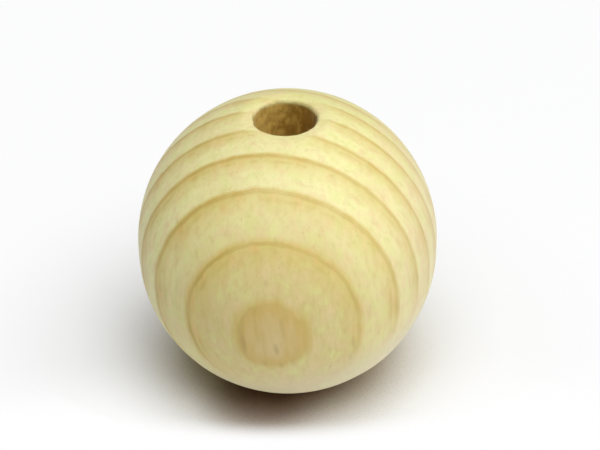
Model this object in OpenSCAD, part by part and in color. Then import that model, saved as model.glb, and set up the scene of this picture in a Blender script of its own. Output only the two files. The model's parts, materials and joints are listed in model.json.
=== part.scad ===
// Round wooden bead, turned in one piece and drilled through from end to end.
// Lengths are millimetres. The bead stands on one end face with its hole upright:
// the origin is the centre of that face and +Z runs along the hole.

/* [Bead] */
// Diameter across the middle, and of the ball that each half is turned to
bead_d = 30; // [18:0.5:60]
// Height of the narrow straight band left around the middle between the two halves
band_h = 0.9; // [0.2:0.1:20]

/* [Hole] */
// Diameter of the hole
bore_d = 6.1; // [2:0.1:12]
// Width of the flat land around the hole at each end, before its edges are eased
land_w = 1.3; // [1:0.1:3]

/* [Edges] */
// Radius of the eased edge where the hole meets each end face
mouth_r = 0.4; // [0.1:0.05:0.6]
// Radius of the soft shoulder between each end face and the round side
shoulder_r = 2; // [0.5:0.1:3]

/* [Hidden] */
$fn = 180;

bead_r = bead_d / 2;
bore_r = bore_d / 2;
face_r = bore_r + land_w;

// Each half is part of a ball whose centre lies on the axis at the edge of the band,
// and each end is faced off where the ball has come in to the rim of the land.
band_top = band_h / 2;
half_l = band_top + sqrt(bead_r^2 - face_r^2);
bead_l = 2 * half_l;

// An arc that runs into its neighbours stands this little proud of them, so that they
// cross and leave no sliver between them.
lap = 0.0001;
ball_c = [0, band_top];
ball_r = bead_r + lap;
mouth_c = [bore_r + mouth_r - lap, half_l - mouth_r + lap];
shoulder_y = half_l - shoulder_r + lap;
shoulder_reach = ball_r - shoulder_r + lap;
shoulder_c = [sqrt(shoulder_reach^2 - (shoulder_y - band_top)^2), shoulder_y];

// Half section of the drilled rod, before anything is turned off it
module rod_section() {
    translate([bore_r, -half_l]) square([bead_r - bore_r, bead_l]);
}

// What comes off the rod's upper corner to leave the ball
module ball_waste() {
    difference() {
        translate(ball_c) square(bead_d);
        translate(ball_c) circle(r = ball_r);
    }
}

// What comes off the corner between the hole and the upper end face
module mouth_waste() {
    difference() {
        polygon([mouth_c, [bore_r, mouth_c.y], [bore_r, half_l], [mouth_c.x, half_l]]);
        translate(mouth_c) circle(r = mouth_r);
    }
}

// What comes off the corner between the upper end face and the ball.
// Two edges of the triangle leave the shoulder's centre through its touching points.
module shoulder_waste() {
    side = 2 * shoulder_r;
    outward = (shoulder_c - ball_c) / shoulder_reach;
    difference() {
        polygon([shoulder_c, shoulder_c + [0, side], shoulder_c + outward * side]);
        translate(shoulder_c) circle(r = shoulder_r);
    }
}

// Half section of the finished bead, the same at both ends
module section() {
    difference() {
        rod_section();
        for (end = [0, 1]) mirror([0, end]) {
            ball_waste();
            mouth_waste();
            shoulder_waste();
        }
    }
}

module bead() {
    color("#E6D59C")
        translate([0, 0, half_l])
            rotate_extrude()
                section();
}

bead();
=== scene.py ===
"""The looks of a round wooden bead: turned in one piece, drilled through and left unvarnished.

Metres throughout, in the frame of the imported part: the bead stands on one end face, with its
hole along +Z and the middle of that face at the origin. The grain is worked out in millimetres
from the middle of the bead, and the front of the bead is at -Y.
"""

import json
import math

import bpy
from mathutils import Matrix, Vector


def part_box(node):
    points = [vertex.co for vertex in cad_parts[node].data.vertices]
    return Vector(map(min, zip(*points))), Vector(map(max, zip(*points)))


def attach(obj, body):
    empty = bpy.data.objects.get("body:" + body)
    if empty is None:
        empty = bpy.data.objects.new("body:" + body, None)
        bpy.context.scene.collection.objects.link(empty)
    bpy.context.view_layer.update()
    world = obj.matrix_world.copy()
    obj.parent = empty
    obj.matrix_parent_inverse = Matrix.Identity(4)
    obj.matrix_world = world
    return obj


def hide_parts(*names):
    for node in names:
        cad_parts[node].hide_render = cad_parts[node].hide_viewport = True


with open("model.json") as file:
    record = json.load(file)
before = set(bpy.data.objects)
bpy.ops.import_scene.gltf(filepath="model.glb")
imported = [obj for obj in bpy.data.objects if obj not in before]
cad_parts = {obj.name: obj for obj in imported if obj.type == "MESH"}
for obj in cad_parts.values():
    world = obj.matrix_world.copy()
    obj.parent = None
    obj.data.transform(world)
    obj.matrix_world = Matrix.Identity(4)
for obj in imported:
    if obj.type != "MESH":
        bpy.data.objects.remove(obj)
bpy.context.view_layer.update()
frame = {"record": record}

MM = 0.001
QUARTER = math.pi / 2


# ---------------------------------------------------------------- sizes of the turned bead
LOW, HIGH = (Vector(corner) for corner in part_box("bead"))
HOLE = next(mount for mount in frame["record"]["mounts"] if mount["name"] == "hole")

HALF_L = (HIGH.z - LOW.z) / 2
BALL_R = (HIGH.x - LOW.x) / 2
MIDDLE = Vector((0, 0, LOW.z + HALF_L))
BORE_R = HOLE["dims"]["r_mm"] * MM
LAND_W = 1.3 * MM
MOUTH_R = 0.4 * MM
SHOULDER_R = 2.0 * MM


# ---------------------------------------------------------------- node trees
def both_ways(operation):
    """An operator and its reflected form, each of which adds one Math node."""

    def forward(wire, other):
        return wire.math(operation, other)

    def reflected(wire, other):
        return wire.tree.node("ShaderNodeMath", {"operation": operation}, {0: other, 1: wire})

    return forward, reflected


class Wire:
    """A value in a node tree. Python arithmetic on it adds Math nodes."""

    def __init__(self, tree, socket):
        self.tree = tree
        self.socket = socket

    def math(self, operation, *others):
        inputs = dict(enumerate((self, *others)))
        return self.tree.node("ShaderNodeMath", {"operation": operation}, inputs)

    __add__, __radd__ = both_ways("ADD")
    __sub__, __rsub__ = both_ways("SUBTRACT")
    __mul__, __rmul__ = both_ways("MULTIPLY")
    __truediv__, __rtruediv__ = both_ways("DIVIDE")
    __pow__, __rpow__ = both_ways("POWER")

    def __neg__(self):
        return self * -1.0

    def larger(self, other):
        return self.math("MAXIMUM", other)

    def ramp(self, low, high, start=0.0, end=1.0, smooth=True):
        """start below low, end above high, and a smooth or straight change between them."""
        kind = "SMOOTHSTEP" if smooth else "LINEAR"
        inputs = {"Value": self, "From Min": low, "From Max": high, "To Min": start, "To Max": end}
        return self.tree.node("ShaderNodeMapRange", {"interpolation_type": kind}, inputs)


MIXED_COLOUR = 2  # the Mix node's colour output, which shares its name with two others


def distance(x, y):
    """How far (x, y) is from the axis."""
    return (x * x + y * y) ** 0.5


class Tree:
    """Adds nodes to a material's tree or to a Geometry Nodes tree."""

    def __init__(self, tree):
        self.nodes = tree.nodes
        self.links = tree.links

    def fill(self, socket, value):
        if isinstance(value, Wire):
            self.links.new(value.socket, socket)
        else:
            socket.default_value = value

    def node(self, kind, settings=None, inputs=None, output=0):
        """A node with its settings made first and its sockets filled or linked after.

        Inputs go by identifier, name or number, and the output wanted by name or number.
        """
        made = self.nodes.new(kind)
        for name, setting in (settings or {}).items():
            setattr(made, name, setting)
        by_identifier = {socket.identifier: socket for socket in made.inputs}
        for key, value in (inputs or {}).items():
            self.fill(by_identifier[key] if key in by_identifier else made.inputs[key], value)
        return Wire(self, made.outputs[output]) if made.outputs else None

    def object_place(self):
        return self.node("ShaderNodeTexCoord", None, None, "Object")

    def axes(self, place):
        return [self.node("ShaderNodeSeparateXYZ", None, {0: place}, axis) for axis in range(3)]

    def join(self, x, y, z=0.0):
        return self.node("ShaderNodeCombineXYZ", None, {0: x, 1: y, 2: z})

    def vector(self, operation, *inputs):
        given = {index: value for index, value in enumerate(inputs) if value is not None}
        return self.node("ShaderNodeVectorMath", {"operation": operation}, given)

    def drawn_out(self, place, share):
        """The place with its Z made shorter, so that a noise read there is drawn out along Z."""
        return self.vector("MULTIPLY", place, (1.0, 1.0, share))

    def noise(self, place, scale, detail=2.0, roughness=0.5):
        """Soft noise from 0 to 1 about 0.5; scale is in lumps per unit of place."""
        inputs = {"Vector": place, "Scale": scale, "Detail": detail, "Roughness": roughness}
        return self.node("ShaderNodeTexNoise", {"noise_dimensions": "3D"}, inputs)

    def blend(self, factor, first, second):
        """The first colour where the factor is 0, and the second where it is 1."""
        inputs = {"Factor_Float": factor, "A_Color": first, "B_Color": second}
        return self.node("ShaderNodeMix", {"data_type": "RGBA"}, inputs, MIXED_COLOUR)

    def gather(self, pieces):
        """One geometry out of several."""
        joined = self.nodes.new("GeometryNodeJoinGeometry")
        for piece in pieces:
            self.links.new(piece.socket, joined.inputs[0])
        return Wire(self, joined.outputs[0])


def empty_tree(owner):
    """The tree of a new material or world, with nothing in it yet."""
    owner.use_nodes = True
    owner.node_tree.nodes.clear()
    return Tree(owner.node_tree)


# ---------------------------------------------------------------- the grain, in millimetres
# The pith of the tree lies well in front of the bead and leans a little from upright.
PITH = (-17.7, -120.9, 0.0)
PITH_LEAN = (math.radians(0.63), math.radians(-2.81), 0.0)
RING_START = 105.0
RING_WIDTHS = (2.6, 2.35, 3.45, 3.2, 2.9, 3.1, 2.8, 2.7, 2.7, 2.6, 2.5, 2.4, 2.4)
FIRST_RING_END = RING_START + RING_WIDTHS[0]
RING_SKEW = 0.0066
SKEW_Y = 7.5
SLOW_WAVER = 0.25
QUICK_WAVER = 0.32
LONG_FIBRE = 0.12

# Distances from the pith: the warm wood ends, the first thin lines end, the painted shade of the back
# begins.
WARM_END = (108.5, 113.5)
THIN_LINES_END = (109.0, 115.0)
BACK_SHADE_START = (121.0, 129.0)

# Distances past the rim of the first ring: the golden rim, then the disc's edge.
DISC_RIM = (-0.55, 0.0)
DISC_EDGE = (-0.12, 0.2)

# Shares of a year's growth, from its pale start at 0 to its dark end at 1.
TAIL = (0.42, 0.95)
TAIL_CUT = 0.97
AFTERGLOW = 0.14
LINE = (0.885, 0.975)
LINE_EDGE = 0.06
THINNER = 0.04
SECOND_LINE_IN = (0.72, 0.79)
SECOND_LINE_OUT = (0.8, 0.87)

# Where the rings fade: by the hole, low down, behind the front, and from left to right.
FADE_BY_HOLE = (3.6, 6.2)
FADE_LOW = (-6.5, -1.5)
FRONT_ENDS = (-8.5, -4.0)
FADE_RIGHT = (-9.0, 5.0)
LOW_TILT = 0.25

# Where the colour changes: painted shade up the back, pinker to the right, and a painted sheen that
# greys the wood low in front and towards the right.
BACK_SHADE_RISE = (-2.0, 5.0)
PINK_RIGHT = (5.0, 13.0)
SHEEN_LOW = (-9.5, -4.0)
SHEEN_FRONT = (-10.0, -2.0)
SHEEN_RIGHT = (8.0, 15.0)

# The drilled wall's colour stops a little outside its radius and about its ends.
WALL_AROUND = (0.12, 0.24)
WALL_ALONG = (-0.25, 0.15)
# Painted light and shade on the drilled wall: paler on the left, darker on the right.
WALL_PAINTED_LIGHT = (-3.2, 2.0)
MOTTLE_PLACE = (5.0, 0.0, 2.0)

# How much of each colour shows where it is strongest.
WARM_SHARE = 0.9
BACK_SHADE_SHARE = 0.8
TAIL_SHARE = 0.9
LINE_SHARE = 0.9
SECOND_SHARE = 0.3
DISC_SHARE = 0.92
FIGURE_SHARE = 0.27
FIBRE_SHARE = 0.14
PORE_SHARE = 0.25
FLECK_SHARE = 0.35
SHEEN_SHARE = 0.5

PALE_WOOD = (0.905, 0.85, 0.42, 1.0)
WARM_WOOD = (0.755, 0.625, 0.265, 1.0)
# Painted shade: a darker, greener tone laid over the upper back.
PAINTED_BACK_SHADE = (0.75, 0.71, 0.28, 1.0)
GREEN_WOOD = (0.80, 0.79, 0.31, 1.0)
PINK_WOOD = (0.86, 0.68, 0.36, 1.0)
TAIL_WOOD = (0.71, 0.57, 0.175, 1.0)
GOLD_WOOD = (0.78, 0.52, 0.17, 1.0)
LATE_WOOD = (0.60, 0.43, 0.105, 1.0)
DISC_WOOD = (0.77, 0.615, 0.31, 1.0)
RIM_WOOD = (0.73, 0.52, 0.165, 1.0)
FLECK_WOOD = (0.42, 0.25, 0.08, 1.0)
# Painted sheen: a paler, greyer tone standing for the white table's reflection at the bead's edges.
PAINTED_SHEEN_WOOD = (0.76, 0.67, 0.50, 1.0)
HOLE_WOOD = (0.73, 0.50, 0.12, 1.0)
HOLE_DARK = (0.40, 0.225, 0.03, 1.0)

# Short dark strokes on the front: x, z, half length and depth of colour.
FLECKS = (
    (-4.4, -1.4, 1.4, 1.0),
    (-1.3, -1.8, 0.8, 1.1),
    (-0.7, 1.0, 1.3, 0.4),
    (3.8, -2.5, 0.5, 0.4),
    (6.1, -2.2, 0.9, 0.6),
    (5.8, -4.3, 0.5, 0.5),
    (-2.4, -3.8, 0.5, 0.5),
    (-0.9, -4.0, 0.5, 0.6),
    (0.3, -3.6, 0.5, 0.5),
    (-2.1, 5.5, 0.4, 0.5),
)
FLECK_WIDTH = 0.26
FLECK_SLANT = 0.12
FLECK_EDGE = (0.2, 1.4)
FLECKS_FRONT = (-9.0, -7.0)

RELIEF_DEPTH = 0.06 * MM
RELIEF_STRENGTH = 0.3


def from_middle(tree):
    """The place on the piece in millimetres, measured from the middle of the bead."""
    place = tree.object_place()
    inputs = {"Vector": place, "Location": -MIDDLE / MM, "Scale": (1 / MM,) * 3}
    return tree.node("ShaderNodeMapping", {"vector_type": "POINT"}, inputs)


def along_grain(tree, millimetres):
    """The place with the pith of the tree as its Z axis."""
    inputs = {"Vector": millimetres, "Location": PITH, "Rotation": PITH_LEAN}
    return tree.node("ShaderNodeMapping", {"vector_type": "TEXTURE"}, inputs)


def ring_depth(tree, millimetres, grain):
    """How far a place is from the pith, along rings that waver a little."""
    x, y, _ = tree.axes(millimetres)
    pith_x, pith_y, _ = tree.axes(grain)
    depth = distance(pith_x, pith_y) + x * (y + SKEW_Y) * RING_SKEW
    slow = tree.noise(tree.drawn_out(grain, LONG_FIBRE), 0.2, 1.0) - 0.5
    quick = tree.noise(tree.drawn_out(grain, 0.35), 1.0, 4.0, 0.6) - 0.5
    return depth + slow * SLOW_WAVER + quick * QUICK_WAVER


def ring_phase(depth):
    """How far through a year's growth a place is: 0 at its pale start, 1 at its dark end."""
    years = None
    edge = RING_START
    for width in RING_WIDTHS:
        year = depth.ramp(edge, edge + width, smooth=False)
        years = year if years is None else years + year
        edge += width
    return years.math("FRACT")


def ring_strength(tree, millimetres, grain):
    """How strongly the rings show: in patches, and less by the hole, rightward and low in front."""
    x, y, z = tree.axes(millimetres)
    patchy = tree.noise(tree.drawn_out(grain, 0.4), 0.45, 3.0).ramp(0.35, 0.65, 0.75, 1.18)
    by_hole = distance(x, y).ramp(*FADE_BY_HOLE, 0.15, 1.0)
    low_front = (z - x * LOW_TILT).ramp(*FADE_LOW, 0.1, 1.0).larger(y.ramp(*FRONT_ENDS))
    return patchy * by_hole * low_front * x.ramp(*FADE_RIGHT, 1.2, 0.76)


def ring_colour(tree, depth, grain, strength, colour):
    """The growth rings over the plain wood: a golden tail, then a thin brown line."""
    phase = ring_phase(depth)
    ragged = tree.noise(tree.drawn_out(grain, 0.4), 0.7, 3.0)
    tail = (phase + (ragged - 0.5) * 0.4).ramp(*TAIL, 0.0, TAIL_SHARE, smooth=False)
    afterglow = (1.0 - phase.ramp(0.0, AFTERGLOW)) * TAIL_SHARE
    tail = tail * (1.0 - phase.ramp(TAIL_CUT, 1.0)) + afterglow
    thinner = depth.ramp(*THIN_LINES_END, THINNER, 0.0)
    edge = 1.0 - phase.ramp(0.0, LINE_EDGE - thinner * 0.5)
    line = phase.ramp(thinner + LINE[0], LINE[1]).larger(edge) * ragged.ramp(0.3, 0.7, 0.65, 1.0)
    second = phase.ramp(*SECOND_LINE_IN) - phase.ramp(*SECOND_LINE_OUT)
    second = second * ragged.ramp(0.45, 0.65)
    glow = tree.noise(tree.drawn_out(grain, 0.5), 0.8, 2.0).ramp(0.45, 0.65, 0.0, 0.7)
    tail_wood = tree.blend(glow, TAIL_WOOD, GOLD_WOOD)
    colour = tree.blend(tail * strength ** 0.6, colour, tail_wood)
    lines = line * LINE_SHARE + second * SECOND_SHARE
    return tree.blend(lines * strength, colour, LATE_WOOD)


def disc_colour(tree, depth, grain, colour):
    """The first ring, cut flat on the front: a tan disc, golden round its rim and streaked."""
    streak = tree.noise(tree.drawn_out(grain, 0.2), 1.3, 2.0).ramp(0.45, 0.75, 0.0, 0.35)
    ragged = tree.noise(tree.drawn_out(grain, 0.3), 1.3, 3.0) - 0.5
    past_rim = depth + ragged * 0.4 - FIRST_RING_END
    inside = 1.0 - past_rim.ramp(*DISC_EDGE)
    disc = tree.blend(past_rim.ramp(*DISC_RIM), DISC_WOOD, RIM_WOOD)
    disc = tree.blend(streak, disc, LATE_WOOD)
    return tree.blend(inside * DISC_SHARE, colour, disc)


def fleck_shade(tree, millimetres):
    """The short dark strokes, each stretched along the grain."""
    x, y, z = tree.axes(millimetres)
    front = 1.0 - y.ramp(*FLECKS_FRONT)
    shade = None
    for fleck_x, fleck_z, half_long, strong in FLECKS:
        across = (x - fleck_x + (z - fleck_z) * FLECK_SLANT) / FLECK_WIDTH
        along = (z - fleck_z) / half_long
        stroke = (1.0 - distance(across, along).ramp(*FLECK_EDGE)) * strong
        shade = stroke if shade is None else shade + stroke
    return shade * front


def pore_shade(tree, grain):
    """Fine dark pores, drawn out along the grain: strokes on the side and dots on the ends."""
    specks = tree.noise(tree.drawn_out(grain, 0.16), 3.2, 1.0)
    crowd = tree.noise(tree.drawn_out(grain, LONG_FIBRE), 0.5, 1.0).ramp(0.4, 0.7)
    return specks.ramp(0.66, 0.76) * crowd


def plain_colour(tree, millimetres, depth):
    """The wood between the rings: warm near the pith and uneven, with painted shade, greener and
    darker, at the upper back.
    """
    x, _, z = tree.axes(millimetres)
    blotch = tree.noise(tree.drawn_out(millimetres, 0.5), 0.22, 3.0)
    warmth = blotch.ramp(0.4, 0.7, 0.0, 0.25) + (1.0 - depth.ramp(*WARM_END)) * WARM_SHARE
    # Painted shade: the upper back is made darker and greener.
    upper_back_shade = depth.ramp(*BACK_SHADE_START) * z.ramp(*BACK_SHADE_RISE)
    tint = tree.noise(tree.drawn_out(millimetres, 0.7), 0.8, 3.0)
    pinker = tint.ramp(0.47, 0.72, 0.0, 0.55) + x.ramp(*PINK_RIGHT, 0.0, 0.3)
    colour = tree.blend(warmth, PALE_WOOD, WARM_WOOD)
    colour = tree.blend(upper_back_shade * BACK_SHADE_SHARE, colour, PAINTED_BACK_SHADE)
    colour = tree.blend(pinker, colour, PINK_WOOD)
    return tree.blend(tint.ramp(0.28, 0.55, 0.6, 0.0), colour, GREEN_WOOD)


def painted_sheen_share(tree, millimetres):
    """How far the painted sheen greys the wood: low in front, and a little towards the right."""
    x, y, z = tree.axes(millimetres)
    low = 1.0 - (z - x * LOW_TILT).ramp(*SHEEN_LOW)
    front = 1.0 - y.ramp(*SHEEN_FRONT)
    return low * front * SHEEN_SHARE + x.ramp(*SHEEN_RIGHT, 0.0, 0.2)


def hole_share(tree, millimetres):
    """1 on the drilled wall, and 0 past its eased edges."""
    x, y, z = tree.axes(millimetres)
    wall_r = BORE_R / MM
    wall_end = (HALF_L - MOUTH_R) / MM
    around = 1.0 - distance(x, y).ramp(*(wall_r + past for past in WALL_AROUND))
    along = 1.0 - z.math("ABSOLUTE").ramp(*(wall_end + past for past in WALL_ALONG))
    return around * along


def hole_colour(tree, millimetres):
    """The drilled wall: browner, mottled where the fibres tore, and with painted light and shade,
    paler on its left side and darker on its right.
    """
    place = tree.vector("ADD", millimetres, MOTTLE_PLACE)
    mottle = tree.noise(tree.drawn_out(place, 0.7), 1.5, 4.0, 0.6)
    x, _, _ = tree.axes(millimetres)
    # Painted light and shade: the wall's left side paler, its right side darker.
    painted_light = x.ramp(*WALL_PAINTED_LIGHT, 0.2, -0.1)
    return tree.blend((mottle + painted_light).ramp(0.32, 0.72), HOLE_DARK, HOLE_WOOD)


def wood():
    """Pale close-grained wood, sanded and unfinished, and browner where it was drilled."""
    made = bpy.data.materials.new("bead_wood")
    tree = empty_tree(made)
    millimetres = from_middle(tree)
    grain = along_grain(tree, millimetres)
    depth = ring_depth(tree, millimetres, grain)
    strength = ring_strength(tree, millimetres, grain)
    figure = tree.noise(tree.drawn_out(grain, 0.35), 1.4, 3.0, 0.6)
    fibre = tree.noise(tree.drawn_out(grain, LONG_FIBRE), 2.4, 3.0, 0.6)
    pores = pore_shade(tree, grain)

    colour = plain_colour(tree, millimetres, depth)
    colour = ring_colour(tree, depth, grain, strength, colour)
    colour = disc_colour(tree, depth, grain, colour)
    colour = tree.blend(figure.ramp(0.45, 0.8, 0.0, FIGURE_SHARE), colour, LATE_WOOD)
    colour = tree.blend(fibre.ramp(0.45, 0.75, 0.0, FIBRE_SHARE), colour, LATE_WOOD)
    colour = tree.blend(pores * PORE_SHARE, colour, FLECK_WOOD)
    colour = tree.blend(fleck_shade(tree, millimetres) * FLECK_SHARE, colour, FLECK_WOOD)
    # Painted sheen: the wood greyed low in front and towards the right.
    colour = tree.blend(painted_sheen_share(tree, millimetres), colour, PAINTED_SHEEN_WOOD)
    colour = tree.blend(hole_share(tree, millimetres), colour, hole_colour(tree, millimetres))

    height = fibre * 0.5 - pores * 0.6 + ring_phase(depth).ramp(0.85, 1.0) * 0.3
    relief = {"Strength": RELIEF_STRENGTH, "Distance": RELIEF_DEPTH, "Height": height}
    shader = tree.node("ShaderNodeBsdfPrincipled", None, {
        "Base Color": colour,
        "Roughness": fibre.ramp(0.3, 0.7, 0.5, 0.6),
        "Specular IOR Level": 0.4,
        "Sheen Weight": 0.22,
        "Sheen Roughness": 0.35,
        "Normal": tree.node("ShaderNodeBump", None, relief),
    })
    tree.node("ShaderNodeOutputMaterial", None, {"Surface": shader})
    return made


# ---------------------------------------------------------------- the turned shape
STEPS_ROUND = 300
LAND_STEPS = 3
SHOULDER_STEPS = 5
BALL_STEPS = 76
BAND_STEPS = 3
MOUTH_STEPS = 7
BORE_STEPS = 104
JOIN_GAP = 0.001 * MM
SANDED = (6.5 * MM, 9.0 * MM)

SHAPE_SIZES = {
    "Ball Radius": BALL_R,
    "Half Length": HALF_L,
    "Bore Radius": BORE_R,
    "Land Width": LAND_W,
    "Mouth Radius": MOUTH_R,
    "Shoulder Radius": SHOULDER_R,
    "Out of Round": 0.04 * MM,
    "Bore Roughness": 0.09 * MM,
    "Seed": 4.0,
}


def arc(tree, x, y, radius, start, end, steps):
    """A round stretch of the section, from one angle to another."""
    sweep = end - start
    inputs = {"Resolution": steps, "Radius": radius, "Start Angle": start, "Sweep Angle": sweep}
    curve = tree.node("GeometryNodeCurveArc", {"mode": "RADIUS"}, inputs)
    moved = {"Geometry": curve, "Translation": tree.join(x, y)}
    return tree.node("GeometryNodeTransform", None, moved)


def line(tree, x0, y0, x1, y1, steps):
    """A straight stretch of the section."""
    ends = {"Start": tree.join(x0, y0), "End": tree.join(x1, y1)}
    curve = tree.node("GeometryNodeCurvePrimitiveLine", {"mode": "POINTS"}, ends)
    return tree.node("GeometryNodeResampleCurve", None, {"Curve": curve, "Count": steps})


def turned_section(tree, size):
    """The closed outline of one side of the bead: x out from the hole's axis, y along it."""
    ball, bore, half = size["Ball Radius"], size["Bore Radius"], size["Half Length"]
    mouth, shoulder = size["Mouth Radius"], size["Shoulder Radius"]
    face = bore + size["Land Width"]
    band = half - (ball * ball - face * face) ** 0.5
    shoulder_y = half - shoulder
    reach = ball - shoulder
    rise = shoulder_y - band
    shoulder_x = (reach * reach - rise * rise) ** 0.5
    tangent = rise.math("ARCTAN2", shoulder_x)
    mouth_x = bore + mouth
    mouth_y = half - mouth
    upper = tree.gather([
        line(tree, mouth_x, half, shoulder_x, half, LAND_STEPS),
        arc(tree, shoulder_x, shoulder_y, shoulder, tangent, QUARTER, SHOULDER_STEPS),
        arc(tree, 0.0, band, ball, 0.0, tangent, BALL_STEPS),
        arc(tree, mouth_x, mouth_y, mouth, QUARTER, 2 * QUARTER, MOUTH_STEPS),
    ])
    lower = tree.node("GeometryNodeTransform", None, {"Geometry": upper, "Scale": (1, -1, 1)})
    side = line(tree, ball, -band, ball, band, BAND_STEPS)
    wall = line(tree, bore, -mouth_y, bore, mouth_y, BORE_STEPS)
    outline = tree.gather([upper, lower, side, wall])
    loose = tree.node("GeometryNodeCurveToMesh", None, {"Curve": outline})
    merging = {"Geometry": loose, "Distance": JOIN_GAP}
    closed = tree.node("GeometryNodeMergeByDistance", None, merging)
    return tree.node("GeometryNodeMeshToCurve", None, {"Mesh": closed})


def worn_away(tree, size):
    """How far the surface lies inside its true shape: sanded uneven outside, torn in the bore."""
    place = tree.vector("SUBTRACT", tree.node("GeometryNodeInputPosition"), MIDDLE)
    place = tree.vector("SCALE", place, None, None, 1 / MM)
    x, y, _ = tree.axes(place)
    out = distance(x, y) * MM
    shifted = tree.vector("ADD", place, tree.join(size["Seed"], 0.0, 0.0))
    uneven = tree.noise(shifted, 0.14, 1.0).ramp(0.25, 0.75) * size["Out of Round"]
    torn = tree.noise(tree.drawn_out(shifted, 0.7), 1.1, 3.0).ramp(0.3, 0.7)
    bore = size["Bore Radius"]
    in_bore = 1.0 - out.ramp(bore, bore + size["Mouth Radius"] * 0.9)
    return uneven * out.ramp(*SANDED) + torn * in_bore * size["Bore Roughness"]


def turned_bead_tree():
    """Geometry Nodes: the section swept once round the hole's axis, then roughened a little."""
    group = bpy.data.node_groups.new("turned bead", "GeometryNodeTree")
    sockets = {}
    for name in SHAPE_SIZES:
        sockets[name] = group.interface.new_socket(name, in_out="INPUT", socket_type="NodeSocketFloat")
    sockets["Finish"] = group.interface.new_socket(
        "Finish", in_out="INPUT", socket_type="NodeSocketMaterial")
    group.interface.new_socket("Bead", in_out="OUTPUT", socket_type="NodeSocketGeometry")
    tree = Tree(group)
    given = group.nodes.new("NodeGroupInput")
    size = {name: Wire(tree, given.outputs[name]) for name in sockets}

    ball = size["Ball Radius"]
    inset = {"Geometry": turned_section(tree, size), "Translation": tree.join(-ball, 0.0)}
    section = tree.node("GeometryNodeTransform", None, inset)
    circle = {"Resolution": STEPS_ROUND, "Radius": ball}
    rail = tree.node("GeometryNodeCurvePrimitiveCircle", None, circle)
    swept = tree.node("GeometryNodeCurveToMesh", None, {"Curve": rail, "Profile Curve": section})
    outward = tree.node("GeometryNodeFlipFaces", None, {"Mesh": swept})
    stood = tree.node("GeometryNodeTransform", None, {"Geometry": outward, "Translation": MIDDLE})
    normal = tree.node("GeometryNodeInputNormal")
    inward = tree.vector("SCALE", normal, None, None, -worn_away(tree, size))
    worn = tree.node("GeometryNodeSetPosition", None, {"Geometry": stood, "Offset": inward})
    smooth = tree.node("GeometryNodeSetShadeSmooth", None, {"Geometry": worn})
    real = tree.node("GeometryNodeRealizeInstances", None, {"Geometry": smooth})
    coat = {"Geometry": real, "Material": size["Finish"]}
    finished = tree.node("GeometryNodeSetMaterial", None, coat)
    result = group.nodes.new("NodeGroupOutput")
    tree.fill(result.inputs["Bead"], finished)
    return group, sockets


def turned_bead(finish):
    """The bead's mesh, made once from its Geometry Nodes tree."""
    group, sockets = turned_bead_tree()
    blank = bpy.data.objects.new("blank", bpy.data.meshes.new("blank"))
    bpy.context.scene.collection.objects.link(blank)
    turning = blank.modifiers.new("turning", "NODES")
    turning.node_group = group
    for name, value in {**SHAPE_SIZES, "Finish": finish}.items():
        turning[sockets[name].identifier] = value
    evaluated = blank.evaluated_get(bpy.context.evaluated_depsgraph_get())
    mesh = bpy.data.meshes.new_from_object(evaluated)
    bpy.data.objects.remove(blank)
    bead = bpy.data.objects.new("turned_bead", mesh)
    bpy.context.scene.collection.objects.link(bead)
    return bead


# ---------------------------------------------------------------- table, lamps and camera
FLOOR_SIZE = 3.0
FLOOR_COLOUR = (0.935, 0.945, 0.965, 1.0)
# Painted shadow: the dark brown the paper goes to under the bead.
PAINTED_SHADOW_COLOUR = (0.10, 0.05, 0.03, 1.0)
WHITE = (1.0, 1.0, 1.0, 1.0)

# The shade by the bead: how far it reaches, and its dark middle, a little ahead and to the left.
SHADE_REACH = 12 * MM
SHADE_X = -3.2 * MM
SHADE_Y = -7.8 * MM
SHADE_SPREAD = (1.5 * MM, 7.5 * MM)
SHADE_LEVELS = (0.78, 1.26)
SHADE_DEPTH = (0.03, 0.85)
SHADE_WARMTH = (0.1, 0.17)
DIMMEST = 0.02

# Painted light on the paper where it is seen directly: a white wash, all of it ahead of the bead, and
# a share of it beside and behind; far off it gives the even white backdrop.
WASH_AHEAD = (-13.0 * MM, 0.0)
WASH_SPREAD = (15 * MM, 40 * MM)
WASH_DEPTH = (0.65, 1.16)
NEAR_WASH = 0.3
FAR_WASH = 0.85
EDGE = (10.5 * MM, 13.8 * MM)
EDGE_BACK = (-10 * MM, 4 * MM)

ROOM_LIGHT = 0.03
LAMP_AWAY = 0.7
# Name, azimuth and elevation in degrees, width in metres, and level.
LAMPS = (
    ("overhead", 0, 79, 0.6, 0.65),
    ("right_front", 45, 50, 0.5, 0.37),
    ("right", 90, 50, 0.5, 0.14),
    ("right_low", 90, 15, 0.4, 0.13),
    ("left", 270, 50, 0.5, 0.06),
)

CAMERA_TILT = math.radians(36.5)
CAMERA_AWAY = 0.18
CAMERA_LENS = 107.06
AIM_RIGHT = math.radians(0.406)
AIM_UP = math.radians(0.502)
CAMERA_ROLL = math.radians(-1.25)


def seen_directly(tree):
    """1 where the camera looks, straight or in a mirror or through glass, and 0 for soft light."""
    straight = tree.node("ShaderNodeLightPath", None, None, "Is Camera Ray")
    mirrored = tree.node("ShaderNodeLightPath", None, None, "Is Glossy Ray")
    through = tree.node("ShaderNodeLightPath", None, None, "Is Transmission Ray")
    return straight.larger(mirrored).larger(through)


def openness(tree, x, y):
    """How open the table is to the lamps: near 0 under the bead, and past 1 well away from it."""
    settings = {"samples": 8, "only_local": False}
    clear = tree.node("ShaderNodeAmbientOcclusion", settings, {"Distance": SHADE_REACH}, "AO")
    return clear * distance(x - SHADE_X, y - SHADE_Y).ramp(*SHADE_SPREAD, *SHADE_LEVELS)


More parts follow.
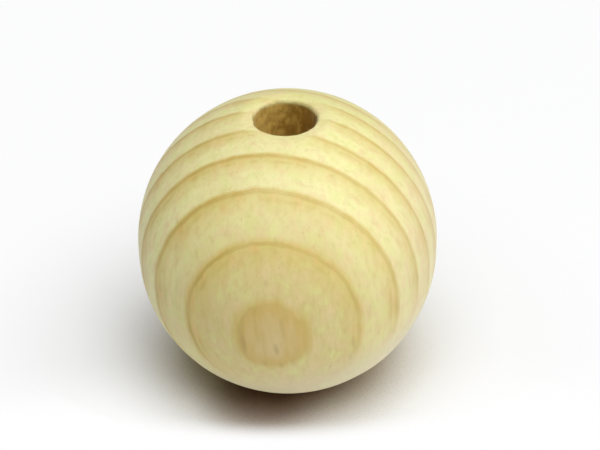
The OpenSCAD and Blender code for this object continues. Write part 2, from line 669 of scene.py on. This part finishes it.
def paper_colour(tree, clear, seen):
    """White paper with a painted shadow, going brown and dark where the bead keeps the light off it.
    """
    light = clear.ramp(*SHADE_DEPTH).larger(1.0 - seen)
    # Painted warm light in the shadow: green and blue fade faster than red.
    green, blue = (light.larger(DIMMEST) ** warmth for warmth in SHADE_WARMTH)
    warm = tree.join(1.0, green, blue)
    return tree.vector("MULTIPLY", tree.blend(light, PAINTED_SHADOW_COLOUR, FLOOR_COLOUR), warm)


def painted_light_wash(clear, x, y):
    """How far painted light washes the paper out to plain white where it is seen directly."""
    ahead = 1.0 - y.ramp(*WASH_AHEAD)
    beside = distance(x, y).ramp(*WASH_SPREAD, NEAR_WASH, FAR_WASH)
    wash = clear.ramp(*WASH_DEPTH) * (ahead * (1.0 - beside) + beside)
    edge = distance(x * 0.5, y).ramp(*EDGE) * (1.0 - y.ramp(*EDGE_BACK))
    return wash.larger(edge)


def floor_finish():
    """Plain white paper, shaded by the bead. Where it is seen directly, painted light also fades it to
    white.
    """
    made = bpy.data.materials.new("table_paper")
    tree = empty_tree(made)
    x, y, _ = tree.axes(tree.object_place())
    seen = seen_directly(tree)
    clear = openness(tree, x, y)
    paper = tree.node("ShaderNodeBsdfDiffuse", None, {"Color": paper_colour(tree, clear, seen)})
    white = tree.node("ShaderNodeEmission", None, {"Color": WHITE})
    # Painted light: the paper glows white where seen, most of all ahead of the bead.
    faded = {0: painted_light_wash(clear, x, y) * seen, 1: paper, 2: white}
    shader = tree.node("ShaderNodeMixShader", None, faded)
    tree.node("ShaderNodeOutputMaterial", None, {"Surface": shader})
    return made


def table():
    """A plain pale floor under the bead."""
    half = FLOOR_SIZE / 2
    mesh = bpy.data.meshes.new("table")
    corners = [(-half, -half, 0), (half, -half, 0), (half, half, 0), (-half, half, 0)]
    mesh.from_pydata(corners, [], [(0, 1, 2, 3)])
    mesh.materials.append(floor_finish())
    floor = bpy.data.objects.new("table", mesh)
    bpy.context.scene.collection.objects.link(floor)


def from_bead(azimuth, elevation, away):
    """A place around the bead: azimuth 0 is in front, at -Y, and 90 is to its right, at +X."""
    turn, rise = math.radians(azimuth), math.radians(elevation)
    level = math.cos(rise)
    return MIDDLE + away * Vector((math.sin(turn) * level, -math.cos(turn) * level, math.sin(rise)))


def softbox(name, azimuth, elevation, width, level):
    """A square lamp facing the bead. level 1 lights a facing surface to its own colour."""
    lamp = bpy.data.lights.new(name, "AREA")
    lamp.size = width
    lamp.energy = level * (math.pi * LAMP_AWAY) ** 2
    holder = bpy.data.objects.new(name, lamp)
    holder.location = from_bead(azimuth, elevation, LAMP_AWAY)
    holder.rotation_euler = (holder.location - MIDDLE).to_track_quat("Z", "Y").to_euler()
    bpy.context.scene.collection.objects.link(holder)


def room():
    """An even pale room: white where it is seen, faint as a light."""
    world = bpy.data.worlds.new("room")
    tree = empty_tree(world)
    strength = seen_directly(tree).ramp(0.0, 1.0, ROOM_LIGHT, 1.0, smooth=False)
    light = tree.node("ShaderNodeBackground", None, {"Color": WHITE, "Strength": strength})
    tree.node("ShaderNodeOutputWorld", None, {"Surface": light})
    bpy.context.scene.world = world


def camera():
    """Looks down on the bead from the front, a little off its middle."""
    lens = bpy.data.cameras.new("camera")
    lens.lens = CAMERA_LENS
    lens.clip_start = 0.01
    holder = bpy.data.objects.new("camera", lens)
    facing = Matrix.Rotation(QUARTER - CAMERA_TILT, 4, "X")
    aim = Matrix.Rotation(-AIM_RIGHT, 4, "Y") @ Matrix.Rotation(AIM_UP, 4, "X")
    roll = Matrix.Rotation(CAMERA_ROLL, 4, "Z")
    place = from_bead(0, math.degrees(CAMERA_TILT), CAMERA_AWAY)
    holder.matrix_world = Matrix.Translation(place) @ facing @ aim @ roll
    bpy.context.scene.collection.objects.link(holder)
    bpy.context.scene.camera = holder


# ---------------------------------------------------------------- putting it together
bpy.context.scene.view_settings.view_transform = "Standard"
camera()
room()
for lamp in LAMPS:
    softbox(*lamp)
table()

bead = turned_bead(wood())
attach(bead, "root")
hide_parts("bead")
